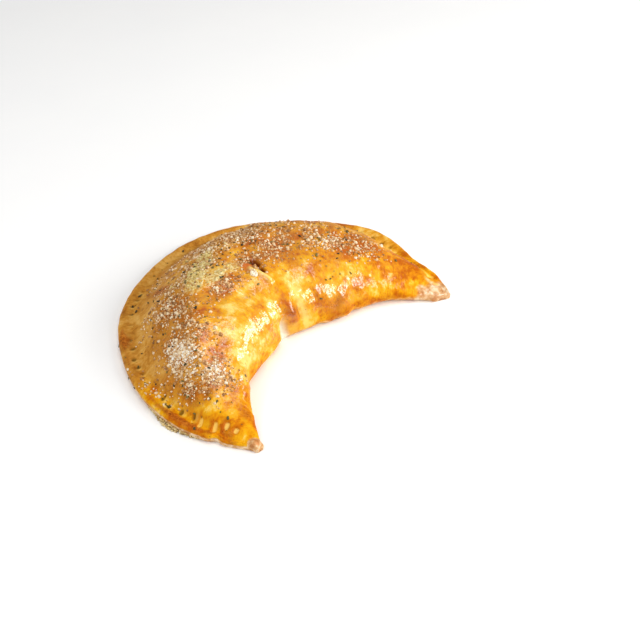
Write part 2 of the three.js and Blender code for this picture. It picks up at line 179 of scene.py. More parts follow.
def ramp(value, low, high):
    """0 up to low, 1 from high on, and 3t²-2t³ of the share t of the way between them. It falls
    instead of climbing where high is less than low."""
    share = clamp((value - low) / (high - low))
    return share * share * (3 - 2 * share)


def bell(value, centre, spread):
    """e to the minus square of the distance from the centre over the spread."""
    return np.exp(-(((value - centre) / spread) ** 2))


def mix(low, high, share):
    """The straight blend from low to high."""
    return low + (high - low) * share


def bulges(table, angle):
    """The sum of bells along an angle, one for each row of centre, spread and height."""
    return sum(height * bell(angle, centre, spread) for centre, spread, height in table)


def ovals(points, table):
    """The strongest of oval bells over the plan."""
    strength = np.zeros(points.shape[:-1])
    for x, y, spread_x, spread_y, most in table:
        away = np.hypot((points[..., 0] - x) / spread_x, (points[..., 1] - y) / spread_y)
        strength = np.maximum(strength, most * bell(away, 0, 1))
    return strength


LATTICE = np.random.default_rng(7).random((32, 32, 32))


def noise(points, cell, shift=0):
    """Soft random lumps between -1 and 1: random numbers at the corners of a cubic lattice of
    the cell's size, blended across each cell by a ramp along every axis."""
    scaled = points / cell + shift
    corner = np.floor(scaled).astype(int)
    part = ramp(scaled - corner, 0, 1)
    total = 0
    for offset in np.ndindex(2, 2, 2):
        weight = np.prod(np.where(offset, part, 1 - part), axis=-1)
        index = (corner + offset) % len(LATTICE)
        total = total + weight * LATTICE[index[..., 0], index[..., 1], index[..., 2]]
    return 2 * total - 1


# ---- the crust's surface ----


def unit(vectors):
    """Vectors of length one."""
    return vectors / np.linalg.norm(vectors, axis=-1, keepdims=True)


def angles_round(points, centre):
    """Degrees round a centre from +X, running on past 180 down to -90."""
    away = points - centre
    angle = np.degrees(np.arctan2(away[..., 1], away[..., 0]))
    return np.where(angle < -90, angle + 360, angle)


def foot(angle, centre, radius, table):
    """The point of a wandering arc at an angle round its centre."""
    turn = np.radians(angle)
    reach = radius + bulges(table, angle)
    return centre + reach[:, None] * np.stack([np.cos(turn), np.sin(turn)], axis=-1)


def stations(turn):
    """Places along the crescent. The spine runs midway between the rim's arc and the fold's,
    so it is an ellipse whose foci are the two centres; each place has a foot on either arc."""
    up = unit(RIM_CENTRE - FOLD_CENTRE)
    side = np.array([up[1], -up[0]])
    long_axis = (RIM_RADIUS + FOLD_RADIUS) / 2
    focus = np.linalg.norm(RIM_CENTRE - FOLD_CENTRE) / 2
    short_axis = math.sqrt(long_axis**2 - focus**2)
    spine = (
        (RIM_CENTRE + FOLD_CENTRE) / 2
        + np.outer(long_axis * np.cos(turn), up)
        + np.outer(short_axis * np.sin(turn), side)
    )
    rim_angle = angles_round(spine, RIM_CENTRE)
    slant = SLANT.angle * ramp(np.degrees(turn), SLANT.start, HORN_B_TURN)
    fold_angle = angles_round(spine, FOLD_CENTRE) + slant
    return Record(
        spine=spine, rim_angle=rim_angle, fold_angle=fold_angle,
        width=2 * (RIM_RADIUS - np.linalg.norm(spine - RIM_CENTRE, axis=1)),
        rim=foot(rim_angle, RIM_CENTRE, RIM_RADIUS, RIM_WANDER),
        fold=foot(fold_angle, FOLD_CENTRE, FOLD_RADIUS, FOLD_WANDER),
    )


def across(at, share):
    """Points across the crescent: the quadratic curve from the rim's foot to the fold's whose
    middle is on the spine, at shares of the way for each station."""
    bend = 2 * at.spine - (at.rim + at.fold) / 2
    share = share[..., None]
    return (
        (1 - share) ** 2 * at.rim[:, None]
        + 2 * share * (1 - share) * bend[:, None]
        + share**2 * at.fold[:, None]
    )


def edge_section(at):
    """The rim's edge: half of a rounded square, with the seam of the two layers in it."""
    turn = np.radians(np.linspace(-90, 90, EDGE_STEPS))
    rise = RIM_LIP * (1 + np.sin(turn)) / 2
    inset = EDGE.depth * (1 - clamp(np.cos(turn)) ** EDGE.square)
    inset = inset + SEAM.depth * bell(rise, SEAM.height, SEAM.spread)
    return inset * at.slim / at.width, rise * at.low


def lip_section(at):
    """The top of the rim, which falls inwards from its lip to a shallow groove."""
    inset = np.linspace(EDGE.depth, RIM_WIDTH, LIP_STEPS + 1)[1:-1]
    top = mix(RIM_LIP, RIM_HEIGHT, ramp(inset, EDGE.depth, RIM_WIDTH))
    top = top - GROOVE.depth * at.full * bell(inset, GROOVE.inset, GROOVE.spread)
    return inset * at.slim / at.width, top * at.low


def flank_section(at):
    """The flank: an arc up to the crest, with a soft hollow at its foot."""
    along = np.linspace(0, 1, FLANK_STEPS)
    climb = (1 - (1 - along) ** FLANK_POWER) * mix(1, ramp(along, *HOLLOW), at.full)
    share = mix(RIM_WIDTH * at.slim / at.width, CREST_AT, along)
    return share, mix(RIM_HEIGHT * at.low, at.height, climb)


def shoulder_section(at):
    """The shoulder from the crest down to the belly: a quarter of a superellipse."""
    turn = np.linspace(0, 1, SHOULDER_STEPS + 1)[1:] ** SHOULDER.crowding * math.pi / 2
    out = np.sin(turn) ** (2 / SHOULDER.across)
    fall = clamp(np.cos(turn)) ** (2 * SHOULDER.up)
    return mix(CREST_AT, 1, out) * np.ones_like(at.width), mix(at.belly, at.height, fall)


def tuck_section(at):
    """The tuck under the belly: a quarter circle."""
    turn = np.linspace(0, 1, TUCK_STEPS + 1)[1:] * math.pi / 2
    return 1 - at.tuck * (1 - np.cos(turn)), at.belly * (1 - np.sin(turn))


def floor_section(at):
    """The flat underside, back to the rim."""
    back = np.linspace(0, 1, FLOOR_STEPS + 2)[1:-1]
    share = mix(1 - at.tuck, EDGE.depth * at.slim / at.width, back)
    return share, np.zeros_like(share)


SECTIONS = (
    edge_section, lip_section, flank_section, shoulder_section, tuck_section, floor_section,
)


def outline(width):
    """Each ring's section as shares of the way across and heights, from the rim's foot over
    the crest and back underneath."""
    widest = stations(np.zeros(1)).width
    swell = 1 - clamp(width / widest)
    height = mix(HORN_HEIGHT, CREST_HEIGHT, (1 - swell**2) ** HORN_SWELL)
    ring = Record(
        width=width, height=height, full=ramp(width, *HOLLOW_WIDTH),
        slim=np.clip(width / FULL_RIM, SLIM_RIM, 1),
        low=np.clip(width / FULL_RIM_HEIGHT, LOW_RIM, 1),
        belly=np.minimum(BELLY_HEIGHT, BELLY_SHARE * height),
        tuck=np.minimum(TUCK_INSET / width, TUCK_SHARE),
    )
    shares, heights = zip(*(section(ring) for section in SECTIONS))
    return np.concatenate(shares, axis=1), np.concatenate(heights, axis=1)


def pleat_depth(angle, height):
    """How far the fold is pulled in at an angle round the bay and a height: a lopsided bell for
    each pleat that fades upwards, and an overhanging flap with a step under it."""
    depth = 0
    for centre, towards_a, towards_b, most, full, low, high in PLEATS:
        spread = np.where(angle > centre, towards_a, towards_b)
        upright = ramp(height, full - PLEAT_FADE, full) * ramp(height, high, low)
        depth = depth + most * bell(angle, centre, spread) * upright
    under = ramp(height, 0, FLAP.low) * ramp(height, FLAP.high, FLAP.low)
    return depth + FLAP.overhang * bell(angle, FLAP.angle, FLAP.spread) * under


def bare_crust(turn):
    """The crust without its skin's relief: a grid of points with measures of each, such as its
    share of the way across and along, and its angles round the rim and the bay."""
    at = stations(turn)
    width = at.width[:, None]
    share, height = outline(width)
    on_floor = height < 1e-6
    pull = pleat_depth(at.fold_angle[:, None], height) * ramp(share, *PLEAT_FROM) / width
    plan = across(at, share - pull)
    stuffed = ramp(share, *LUMPS_FROM_RIM) * (1 - ramp(share, *LUMPS_TO_FOLD))
    stuffed = stuffed * ramp(width, *LUMPS_WIDTH)
    lumps = sum(
        rise * np.sin(plan[..., 0] * wave_x + plan[..., 1] * wave_y + phase)
        for rise, wave_x, wave_y, phase in LUMP_WAVES
    )
    height = height + np.where(on_floor, 0, lumps * stuffed)
    along = (np.degrees(turn) - HORN_A_TURN) / (HORN_B_TURN - HORN_A_TURN)
    spread = np.ones_like(share)
    return Record(
        points=np.concatenate([plan, height[..., None]], axis=-1), height=height,
        share=share, along=along[:, None] * spread, width=width * spread,
        inset=share * width, rim_angle=at.rim_angle[:, None] * spread,
        fold_angle=at.fold_angle[:, None] * spread, floor=on_floor,
    )


def within(skin, **limits):
    """Where measures of the skin lie within limits: the product of a ramp for each, given by
    the values where it is 0 and where it is 1."""
    return math.prod(ramp(getattr(skin, measure), *ends) for measure, ends in limits.items())


def grid_normals(points):
    """Outward normals of a grid that runs along the crescent and round its section."""
    lengthwise = np.gradient(points, axis=0)
    around = (np.roll(points, -1, axis=1) - np.roll(points, 1, axis=1)) / 2
    return unit(np.cross(around, lengthwise))


def prick_marks(skin, shift=0):
    """How deep each point lies in a fork prick, from 0 to 1: round pits in a row, each a
    little off its place. A shift moves them all towards horn A."""
    marks = np.zeros_like(skin.share)
    step = math.degrees(PRICK.pitch / RIM_RADIUS)
    for angle in np.arange(PRICK.first, PRICK.last, -step):
        sway, slip, uneven = (math.sin(wave * angle) for wave in PRICK.waves)
        aside = np.radians(skin.rim_angle - angle - PRICK.sway_angle * sway) * RIM_RADIUS - shift
        inwards = skin.inset - PRICK.inset - PRICK.sway_inset * slip
        strength = 1 - PRICK.unevenness + PRICK.unevenness * uneven
        strength = strength * (1 - bulges(FAINT_PRICKS, angle))
        marks = np.maximum(marks, strength * bell(np.hypot(aside, inwards), 0, PRICK.radius))
    return marks * (skin.height > MARKS_FROM)


def tine_marks(skin, shift=0, size=1):
    """How deep each point lies in a tine's dent, from 0 to 1: flat eggs that point inwards. A
    shift by a share of their width moves them all towards horn A."""
    marks = np.zeros_like(skin.share)
    for angle, inset, length, strength in TINE_DENTS:
        aside = np.radians(skin.rim_angle - angle) * (RIM_RADIUS - inset) - shift * TINE.width
        aside = aside / (size * TINE.width / 2)
        inwards = (skin.inset - inset) / (size * length / 2)
        egg = clamp(1 - aside**2 - np.abs(inwards) ** 3)
        marks = np.maximum(marks, strength * egg)
    return marks * (skin.height > MARKS_FROM)


def beside(points, place):
    """Distances along and across a line through a place of the plan."""
    turn = math.radians(place.turn)
    away = points[..., :2] - np.array([place.x, place.y])
    lengthwise = away @ np.array([math.cos(turn), math.sin(turn)])
    sideways = away @ np.array([-math.sin(turn), math.cos(turn)])
    return lengthwise, sideways


def vent_marks(skin):
    """The vent's torn slits, the strand beside them and the scorched ring at their end, each
    from 0 to 1: lenses with ragged edges, a low ridge and a ring."""
    ragged = TEAR.raggedness * noise(skin.points, TEAR.cell, TEAR.shift)
    slit = np.zeros_like(skin.share)
    for opening in SLITS:
        lengthwise, sideways = beside(skin.points, opening)
        end = 1 - (lengthwise / (opening.length / 2)) ** 2
        lens = end - ((sideways + ragged) / (opening.width / 2)) ** 2
        slit = np.maximum(slit, ramp(lens, 0, TEAR.slope))
    lengthwise, sideways = beside(skin.points, STRAND)
    end = 1 - (lengthwise / (STRAND.length / 2)) ** 2
    strand = bell(sideways + 0.4 * ragged, 0, STRAND.spread) * ramp(end, 0, 0.6)
    away = np.hypot(skin.points[..., 0] - SCORCH.x, skin.points[..., 1] - SCORCH.y)
    ring = bell(away + ragged, SCORCH.radius, SCORCH.spread)
    above = ramp(skin.height, *VENT_HEIGHTS)
    return slit * above, strand * (1 - slit) * above, ring * (1 - slit) * above


def skin_relief(skin):
    """How far the skin is raised in millimetres: heights times noise for swells of the dome and
    the rim, for lumps that are coarser on the fold and for its wrinkles, and the vent's edge."""
    points = skin.points
    dome = within(skin, inset=(6, 14))
    steep = within(skin, share=(0.45, 0.65))
    rough = 1 - ovals(points, SMOOTH_SPOTS)
    lumps = (
        0.35 * noise(points, 11) * dome + 0.35 * noise(points, 7, 23) * (1 - dome)
        + 0.22 * rough * noise(points, 4.5, 9)
        + mix(0.05, 0.2, steep) * rough * noise(points, 2.3, 17)
        + mix(0.02, 0.12, steep) * noise(points, 1.3, 29)
    )
    unrolled = [skin.fold_angle * 1.9, skin.share * 24, np.zeros_like(skin.share)]
    wrinkles = noise(np.stack(unrolled, axis=-1), 4, 3) * within(skin, share=(0.78, 0.95))
    vent = STRAND.height * skin.strand + SCORCH.height * skin.ring
    return lumps + 0.32 * rough * wrinkles + vent


def relieved_crust():
    """The crust with its relief raised and its marks sunk along the normal."""
    turn = np.radians(np.linspace(HORN_A_TURN, HORN_B_TURN, RINGS))
    skin = bare_crust(turn)
    skin.pricks = prick_marks(skin)
    skin.dents = tine_marks(skin)
    # Painted light: the lit side of each prick and the floor of each dent are painted highlights,
    # and the border round each dent is painted shade
    skin.pricks_lit = clamp(prick_marks(skin, PRICK.radius) - skin.pricks)
    skin.dents_lit = tine_marks(skin, *TINE.floor)
    skin.dents_shade = clamp(tine_marks(skin, *TINE.border) - skin.dents_lit)
    skin.slit, skin.strand, skin.ring = vent_marks(skin)
    raised = skin_relief(skin) * within(skin, height=(1, 7))
    sunk = PRICK.depth * skin.pricks + TINE.depth * skin.dents + SLIT_DEPTH * skin.slit
    lift = np.where(skin.floor, 0, raised - sunk)
    skin.points = skin.points + lift[..., None] * grid_normals(skin.points)
    skin.height = np.maximum(skin.points[..., 2], 0)
    skin.points[..., 2] = skin.height
    skin.normals = grid_normals(skin.points)
    return skin


def horn_end(last, before, stops):
    """Rings that carry a horn's last ring onwards while they shrink, as the stops say."""
    middle = last.mean(axis=0) * np.array([1, 1, 0])
    onward = unit((last.mean(axis=0) - before.mean(axis=0)) * np.array([1, 1, 0]))
    at = np.linspace(0, len(stops) - 1, HORN_STEPS + 1)[1:]
    on, wide, high = (np.interp(at, np.arange(len(stops)), column) for column in stops.T)
    size = np.stack([wide, wide, high], axis=-1)
    return (last - middle) * size[:, None] + middle + on[:, None, None] * onward


# ---- meshes ----


def tube_faces(rings, size):
    """Quads between neighbouring rings, closed round each ring."""
    ring, step = np.meshgrid(np.arange(rings - 1), np.arange(size), indexing="ij")
    start = (ring * size + step).ravel()
    beside_it = (ring * size + (step + 1) % size).ravel()
    return np.stack([start, start + size, beside_it + size, beside_it], axis=-1)


def add_object(name, data):
    """A new object of the scene."""
    made = bpy.data.objects.new(name, data)
    bpy.context.scene.collection.objects.link(made)
    return made


def mesh_object(name, points, faces, layers):
    """A smooth-shaded mesh object at the origin, from points in millimetres of the layout."""
    mesh = bpy.data.meshes.new(name)
    mesh.from_pydata(((points - MIDDLE) * MM).tolist(), [], faces)
    for layer, values in layers.items():
        attribute = mesh.attributes.new(layer, "FLOAT", "POINT")
        attribute.data.foreach_set("value", values.astype(np.float32).ravel())
    mesh.shade_smooth()
    mesh.update()
    return add_object(name, mesh)


# ---- where the colours lie ----

# Ovals of the plan: x, y, spread along x and y, strength
TOASTED_SPOTS = (
    (-52, 50, 6, 13, 0.9), (-93, 47, 6, 9, 0.8), (-66, 22, 10, 12, 0.8), (-82, 25, 6, 8, 0.4),
    (-72, 5, 9, 10, 0.6), (-52, 8, 10, 6, 0.5), (-36, 0, 12, 6, 0.55), (-20, -3, 8, 5, 0.4),
    (-4, 12, 10, 8, 0.6), (-8, 4, 4, 5, 0.6), (-104, -10, 5, 12, 0.5), (-106, -38, 6, 8, 0.7),
    (-98, -45, 10, 5, 0.7), (-78, -34, 8, 6, 0.6), (-66, -29, 7, 7, 0.6), (-121, -35, 3, 25, 0.6),
    (-112, -76, 4, 9, 0.7), (-90, -72, 4, 7, 0.6), (15, 5, 16, 10, 0.5), (20, 26, 14, 8, 0.5),
    (42, 8, 16, 12, 0.45), (-5, 62, 14, 8, 0.5), (22, 50, 16, 8, 0.5), (-25, 80, 8, 8, 0.6),
    (28, -50, 11, 4, 0.6), (62, -32, 9, 5, 0.4), (85, -25, 8, 8, 0.5), (85, -46, 6, 6, 0.4),
    (50, -50, 6, 4, 0.4), (-22, -13, 15, 4, 0.5), (28, -38, 12, 5, 0.35), (51, -33, 9, 4, 0.5),
    (-86, 4, 12, 16, 0.5), (-50, 2, 8, 5, 0.5), (70, 14, 12, 8, 0.5), (104, -66, 5, 6, 0.4),
    (82, -20, 12, 4, 0.7), (-96, -43, 12, 4, 0.6), (-70, 12, 10, 14, 0.4), (30, 8, 30, 16, 0.3),
)
# Where the golden dough is lighter: mostly painted highlight where the glaze shines, on the
# fold and along the rim's edge, and some paler dough. Then where the dough is deeper
LIGHTER_DOUGH_AND_HIGHLIGHT_SPOTS = (
    (-48, -26, 12, 11, 0.85), (-30, -32, 20, 5, 0.7), (-40, -17, 13, 8, 0.95), (8, -26, 9, 10, 0.9),
    (-10, -20, 8, 6, 0.4), (30, -36, 10, 6, 0.3), (-78, -50, 9, 8, 0.6), (-62, -40, 8, 8, 0.6),
    (-100, -55, 10, 6, 0.4), (-40, 48, 10, 8, 0.5), (105, -72, 8, 10, 0.4), (-116, 0, 5, 6, 0.7),
    (-120, -23, 5, 5, 0.6), (-116, -46, 5, 6, 0.5), (44, -46, 14, 7, 0.6),
)
AMBER_SPOTS = (
    (88, -55, 32, 26, 0.65), (40, -28, 24, 8, 0.6), (14, -36, 8, 6, 0.4), (54, -36, 24, 10, 0.5),
)
# Ovals of the fold's wall: angle round the bay, height, their spreads, strength. They brown the
# flap and the wall; the narrow stripe at 87.7, along the pleat at the flap's edge, is painted
# shade.
TOASTED_AND_SHADED_FOLD = (
    (90.8, 23, 3.6, 5.5, 0.8), (87.7, 21, 1.1, 4.5, 1), (78.4, 26, 0.9, 2, 0.5),
    (70, 7, 6, 5, 0.5),
)
MELTED_SPOTS = (
    (-46, 20, 9, 8, 0.75), (-38, 28, 11, 10, 0.9), (-26, 35, 12, 9, 1), (-15, 42, 8, 6, 0.9),
    (-50, 38, 8, 8, 0.4), (-30, 14, 14, 7, 0.75), (-16, 14, 10, 8, 0.6), (-20, 52, 10, 6, 0.4),
    (2, 34, 16, 6, 0.4),
)
SPRINKLED_SPOTS = (
    (-90, -12, 8, 14, 1), (-88, -40, 9, 8, 0.8), (-100, -30, 8, 18, 0.45),
    (-75, -5, 12, 16, 0.5), (-66, 22, 14, 16, 0.6), (-45, 32, 16, 14, 0.4), (-26, 34, 12, 9, 0.7),
    (-14, 46, 18, 10, 0.5), (18, 38, 24, 14, 0.5), (2, 10, 16, 12, 0.5), (26, 8, 22, 14, 0.5),
    (52, -4, 18, 14, 0.45), (60, -18, 10, 8, 0.6), (75, -30, 14, 12, 0.4), (-35, 4, 20, 7, 0.35),
    (-80, -52, 14, 5, 0.3), (-20, 62, 26, 10, 0.2), (-112, -12, 6, 24, 0.2),
)
HEAPED_SPOTS = ((-90, -14, 7, 13, 1), (-86, -39, 9, 6, 0.9), (58, -14, 8, 6, 0.5))
HERB_SPOTS = (
    (-104, -25, 9, 32, 0.7), (-90, -20, 12, 28, 0.8), (-72, 12, 16, 20, 0.7),
    (-30, 30, 22, 18, 0.9), (20, 30, 34, 22, 0.8), (0, 0, 30, 14, 0.4), (62, -16, 24, 16, 0.8),
    (-100, 20, 14, 26, 0.25), (-40, 60, 30, 16, 0.3), (88, -44, 12, 12, 0.25),
    (-90, -46, 10, 8, 0.5),
)

# The notch's creamy dough: angle round the bay, how it narrows upwards and how it wavers
NOTCH = Record(angle=94.4, narrowing=0.05, wavering=0.2)
# Bright streaks down the fold beside and below the flap: angle, spread, the heights between
# which it fades in and then out, strength. The one beside the flap is a painted highlight on
# the ridge at the flap's edge; the one below it is paler dough under the overhang.
FLAP_STREAKS = ((85.3, 1, (0, 6), (40, 34), 1), (90.8, 2.4, (-1, 0), (17, 12), 0.4))
STREAK_RADIUS = 110  # turns an angle round the rim into a length for streaks
RAW_ENDS = {"pale": 0.9, "gold": 0.4}  # of the horns
# The browned spot on horn A's nub: ring from its end and step round it, their spreads, strength
NUB_SPOT = Record(ring=4.5, along=2.5, step=84, around=24, strength=0.5)


def sprinkling(skin):
    """How thickly the cheese lies: ovals broken up into clumps, and none on the steep fold."""
    clumps = ramp(noise(skin.points, 7, 31), -0.6, 0.5)
    thin = mix(0.35, 1, clumps) * ovals(skin.points, SPRINKLED_SPOTS)
    vent = clamp(skin.slit + skin.strand + 1.5 * skin.ring)
    return thin * ramp(skin.normals[..., 2], 0.2, 0.6) * (1 - vent)


def golden(skin):
    """Where the dough is golden and not tan: towards the fold, towards both horns, under the
    cheese, and on the rim beside horn A."""
    strewn = ovals(skin.points, SPRINKLED_SPOTS)
    gold = np.maximum.reduce([
        within(skin, share=(0.34, 0.6)), within(skin, along=(0.24, 0.08)),
        within(skin, along=(0.72, 0.9)), 0.55 * within(skin, along=(0.5, 0.75)),
        0.4 * strewn,
    ])
    rim = within(skin, rim_angle=(158, 172), inset=(14, 8))
    return np.maximum(gold * (1 - 0.5 * strewn), rim)


def toasting_and_shade(skin):
    """Where the dough is browned: spots of the plan and of the fold's wall, under the cheese,
    and in patches along the rim's lip. Painted shade is added in the pleat at the flap's edge and
    round the tines' dents."""
    wall = np.stack([skin.fold_angle, skin.height], axis=-1)
    spots = np.maximum(ovals(skin.points, TOASTED_SPOTS), ovals(wall, TOASTED_AND_SHADED_FOLD))
    lip = bell(skin.inset, 3.2, 1.8) * within(skin, height=(5, 6.4))
    lip = lip * ramp(noise(skin.points, 9, 41), -0.5, 0.6)
    under_cheese = ovals(skin.points, SPRINKLED_SPOTS)
    # the dents' border adds painted shade to the browning
    return spots + 0.75 * under_cheese + 0.55 * lip + 0.5 * skin.dents_shade


def glazing(skin, on_fold, notch):
    """How glossy the dough is: the fold's upper part, duller in the notch, beside the flap and
    along horn B, and the very tip of horn B."""
    gloss = within(skin, share=(0.4, 0.6), height=(9, 24))
    beside_flap = 0.8 * bell(skin.fold_angle, 88.6, 1.3) * on_fold
    gloss = gloss * (1 - notch * on_fold) * (1 - beside_flap)
    gloss = gloss * (1 - 0.5 * within(skin, along=(0.74, 0.8)))
    return np.maximum(gloss, 0.8 * within(skin, along=(0.95, 0.98), height=(3, 5)))


def crust_layers(skin):
    """The crust's colour masks, each from 0 to 1, and two lengths in millimetres for streaks."""
    points, height = skin.points, skin.height
    on_fold = within(skin, share=(0.7, 0.85))
    uneven = noise(points, 6, 47)
    low = np.clip(skin.width / FULL_RIM_HEIGHT, LOW_RIM, 1)
    side = (skin.inset < EDGE.depth + 0.5) * ramp(height / low, 5.6, 3.8)
    foot = within(skin, height=(9, 2), share=(0.85, 0.95), along=(0.3, 0.5))
    ragged_tip = ramp(skin.along + 0.02 * uneven, 0.935, 0.99)
    tips = np.maximum(within(skin, along=(0.008, 0)), ragged_tip)
    off_notch = np.abs(skin.fold_angle - NOTCH.angle) + NOTCH.narrowing * height
    notch = ramp(off_notch + NOTCH.wavering * uneven, 2.8, 0.8) * on_fold
    notch = notch * within(skin, height=(23, 10))
    streaks = on_fold * sum(
        strength * bell(skin.fold_angle, angle, spread) * (ramp(height, *up) * ramp(height, *down))
        for angle, spread, up, down, strength in FLAP_STREAKS
    )
    # The dents' lit floors are painted highlight, and they are kept free of browning
    lit_dent_floors = clamp(skin.dents_lit * 1.3)
    # Partly painted highlight: the dents' lit floors, the pricks' lit sides and the ridge beside
    # the flap; the cheese strand and the wall under the flap are paler in colour
    bright = lit_dent_floors + skin.strand + 0.8 * skin.pricks_lit + streaks
    arc = np.linalg.norm(np.diff(points, axis=1, prepend=points[:, :1]), axis=-1)
    return {
        "gold": golden(skin) * (1 - side),
        "glazed": glazing(skin, on_fold, notch),
        # painted highlights and some paler dough, less where the dough is deeper
        "sunny": ovals(points, LIGHTER_DOUGH_AND_HIGHLIGHT_SPOTS) - ovals(points, AMBER_SPOTS),
        "toasted": clamp(toasting_and_shade(skin) * (1 - lit_dent_floors)),
        "pale": clamp(0.75 * side + 0.55 * foot + 0.9 * tips),
        "cream": notch,
        "seared": skin.ring,
        "bright": clamp(bright),
        "melted": ovals(points, MELTED_SPOTS),
        "dusted": sprinkling(skin),
        # the vent's slits: torn dough with painted shade
        "torn": skin.slit,
        # where painted shade darkens the inside of the pricks
        "pricked": skin.pricks,
        "underside": skin.floor,
        "lengthwise": np.radians(skin.rim_angle) * STREAK_RADIUS,
        "sideways": np.cumsum(arc, axis=1),
    }


# ---- the pieces ----


def whole_layers(skin, size):
    """The crust's layers run on over the horns' ends and the hubs of their fans."""
    cap = HORN_STEPS * size
    layers = {}
    for name, values in crust_layers(skin).items():
        whole = np.pad(values, ((HORN_STEPS, HORN_STEPS), (0, 0)), mode="edge")
        layers[name] = np.append(whole, [values[0].mean(), values[-1].mean()])
    for name, amount in RAW_ENDS.items():
        layers[name][:cap] = amount
        layers[name][-cap - 2:] = amount
    browned = np.outer(
        bell(np.arange(HORN_STEPS), NUB_SPOT.ring, NUB_SPOT.along),
        bell(np.arange(size), NUB_SPOT.step, NUB_SPOT.around),
    )
    layers["seared"][:cap] = NUB_SPOT.strength * browned.ravel()
    return layers


def crust(skin):
    """The whole crust as one closed skin: its rings, the horns' ends and a fan over each."""
    points = skin.points
    start = horn_end(points[0], points[1], HORN_A_END)[::-1]
    end = horn_end(points[-1], points[-2], HORN_B_END)
    rings = np.concatenate([start, points, end])
    count, size = rings.shape[:2]
    hubs = np.array([start[0].mean(axis=0), end[-1].mean(axis=0)])
    last, hub = (count - 1) * size, count * size
    faces = tube_faces(count, size).tolist()
    faces += [[step, (step + 1) % size, hub] for step in range(size)]
    faces += [[last + (step + 1) % size, last + step, hub + 1] for step in range(size)]
    points = np.concatenate([rings.reshape(-1, 3), hubs])
    return mesh_object("crust", points, faces, whole_layers(skin, size))


def icosphere(level):
    """Points and triangles of a ball of radius one, made of level halvings of an icosahedron."""
    ball = bmesh.new()
    bmesh.ops.create_icosphere(ball, subdivisions=level, radius=1)
    ball.verts.index_update()
    points = np.array([corner.co for corner in ball.verts])
    faces = np.array([[corner.index for corner in face.verts] for face in ball.faces])
    ball.free()
    return points, faces


def random_turns(random, count):
    """Rotation matrices spread evenly over all turns, from random unit quaternions."""
    w, x, y, z = unit(random.normal(size=(count, 4))).T
    rows = [
        [1 - 2 * (y * y + z * z), 2 * (x * y - z * w), 2 * (x * z + y * w)],
        [2 * (x * y + z * w), 1 - 2 * (x * x + z * z), 2 * (y * z - x * w)],
        [2 * (x * z - y * w), 2 * (y * z + x * w), 1 - 2 * (x * x + y * y)],
    ]
    return np.moveaxis(np.array(rows), -1, 0)


def upright_turns(normals, random):
    """Rotation matrices that lay a shape's own +Z along each normal, spun about it at random."""
    spin = random.uniform(0, 2 * math.pi, len(normals))
    aside = np.stack([np.cos(spin), np.sin(spin), np.zeros_like(spin)], axis=-1)
    first = unit(np.cross(aside, normals))
    second = np.cross(normals, first)
    return np.stack([first, second, normals], axis=-1)


def places_on(skin, thickness, count, random):
    """Random places on the crust: grid cells are drawn by their area times the thickness asked
    for, and each place lies at a random spot inside its cell."""
    one_way, other_way = np.diff(skin.points, axis=0)[:, :-1], np.diff(skin.points, axis=1)[:-1]
    area = np.linalg.norm(np.cross(one_way, other_way), axis=-1)
    chance = (area * thickness[:-1, :-1]).ravel()
    drawn = np.searchsorted(np.cumsum(chance), random.random(count) * chance.sum())
    ring, step = np.unravel_index(np.minimum(drawn, chance.size - 1), area.shape)
    a, b = random.random((2, count, 1))
    spots = []
    for grid in (skin.points, skin.normals):
        near = mix(grid[ring, step], grid[ring + 1, step], a)
        far = mix(grid[ring, step + 1], grid[ring + 1, step + 1], a)
        spots.append(mix(near, far, b))
    return spots[0], unit(spots[1])


def grains(name, places, turns, sizes, roughness, level, random, tone):
    """One mesh of many grains: each is a ball with its corners pushed in or out at random,
    stretched, turned and set down at its place. tone is a number kept for each."""
    ball, triangles = icosphere(level)
    push = 1 + roughness * random.uniform(-1, 1, (len(places), len(ball), 1))
    shapes = ball * push * sizes[:, None, :]
    shapes = np.einsum("nij,nkj->nki", turns, shapes) + places[:, None, :]
    shapes[..., 2] = np.maximum(shapes[..., 2], 0)
    offsets = np.arange(len(places))[:, None, None] * len(ball)
    faces = (triangles + offsets).reshape(-1, 3)
    layers = {"tone": np.repeat(tone, len(ball))}
    return mesh_object(name, shapes.reshape(-1, 3), faces.tolist(), layers)


def grated_cheese(skin, random):
    """Cheese grated to granules: fine ones, coarser crumbs, and soft ones on the melted spots."""
    thick = sprinkling(skin)
    heaped = ovals(skin.points, HEAPED_SPOTS)
    soft = clamp(ovals(skin.points, MELTED_SPOTS) - 0.25)
    hard = thick * (1 - 0.75 * clamp(2 * soft)) + 0.5 * heaped
    made = []
    for grain, chance in zip(CHEESE_GRAINS, (hard**1.2, hard**1.1, soft)):
        name, count, least, most, fineness, lift = grain
        places, normals = places_on(skin, chance, count, random)
        size = mix(least, most, random.random((count, 1)) ** 1.7)
        sizes = size * random.uniform(*STRETCH, (count, 3))
        lifted = places + normals * size * (lift + random.uniform(0, 0.6, (count, 1)))
        turns = random_turns(random, count)
        tone = clamp(0.85 * random.random(count) + 0.35 * ovals(places, HEAPED_SPOTS))
        made.append(grains(name, lifted, turns, sizes, GRAIN_ROUGHNESS, fineness, random, tone))
    return made


